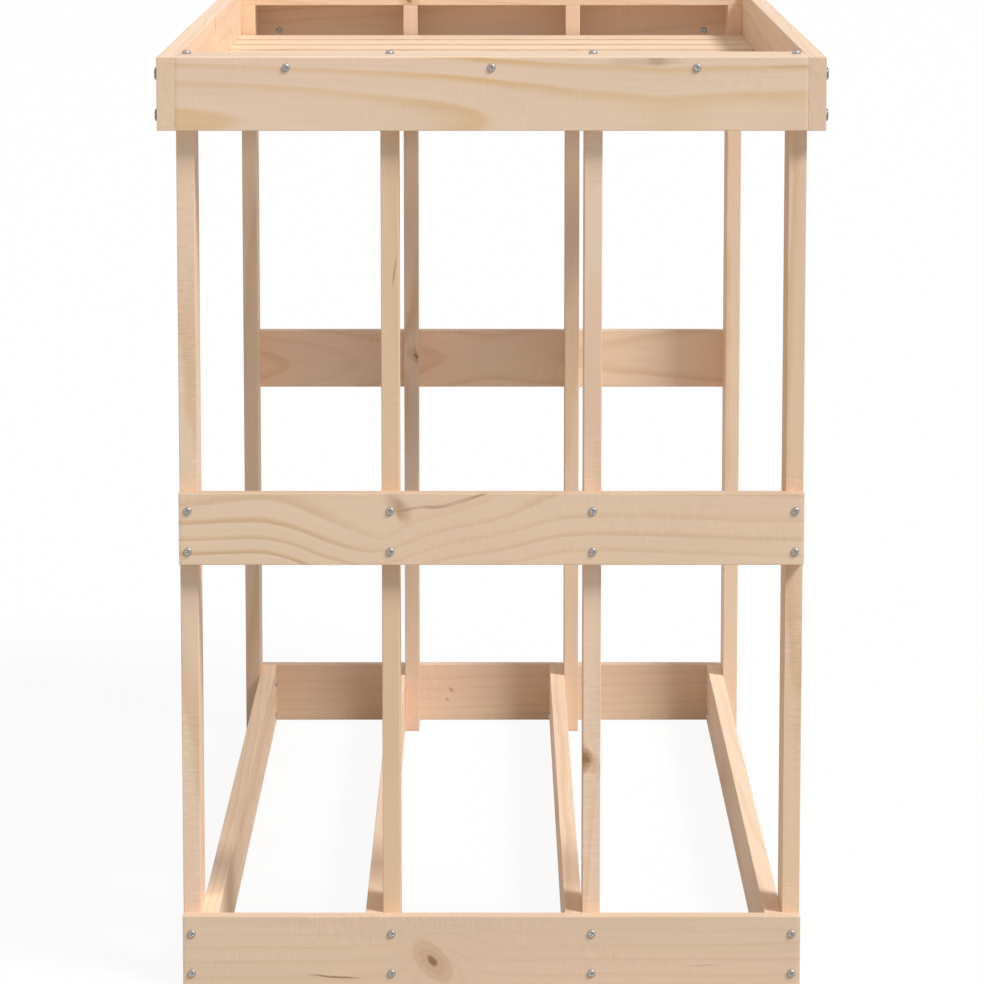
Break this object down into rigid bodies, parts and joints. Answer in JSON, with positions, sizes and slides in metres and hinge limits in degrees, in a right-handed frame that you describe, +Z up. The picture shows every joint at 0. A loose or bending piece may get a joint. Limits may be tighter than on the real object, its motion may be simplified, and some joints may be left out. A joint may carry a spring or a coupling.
{
  "type": "log store",
  "caption": "Open pine rack for firewood: slim board end frames joined by floor bearers, with a lipped slatted tray across the top.",
  "frame": {"origin": "on the ground, in the middle of the plan", "axes": "+X across the end frames to the right as seen from the front end, +Y along the length from the front end to the rear end, +Z up"},
  "size_m": [0.52, 1.08, 0.74],
  "materials": {
    "pine": "planed, unfinished"
  },
  "bodies": {
    "root": {"front_left_post": "pine", "front_mid_left_post": "pine", "front_mid_right_post": "pine", "front_right_post": "pine", "rear_left_post": "pine", "rear_mid_left_post": "pine", "rear_mid_right_post": "pine", "rear_right_post": "pine", "front_bottom_rail": "pine", "front_mid_rail": "pine", "front_top_rail": "pine", "front_top_plate": "pine", "rear_bottom_rail": "pine", "rear_mid_rail": "pine", "rear_top_rail": "pine", "rear_top_plate": "pine", "left_tray_side": "pine", "right_tray_side": "pine", "tray_slat_1": "pine", "tray_slat_2": "pine", "tray_slat_3": "pine", "tray_slat_4": "pine", "tray_slat_5": "pine", "tray_slat_6": "pine", "tray_slat_7": "pine", "tray_slat_8": "pine", "tray_slat_9": "pine", "tray_slat_10": "pine", "tray_slat_11": "pine", "tray_slat_12": "pine", "left_floor_bearer": "pine", "mid_left_floor_bearer": "pine", "mid_right_floor_bearer": "pine", "right_floor_bearer": "pine"}
  },
  "joints": []
}
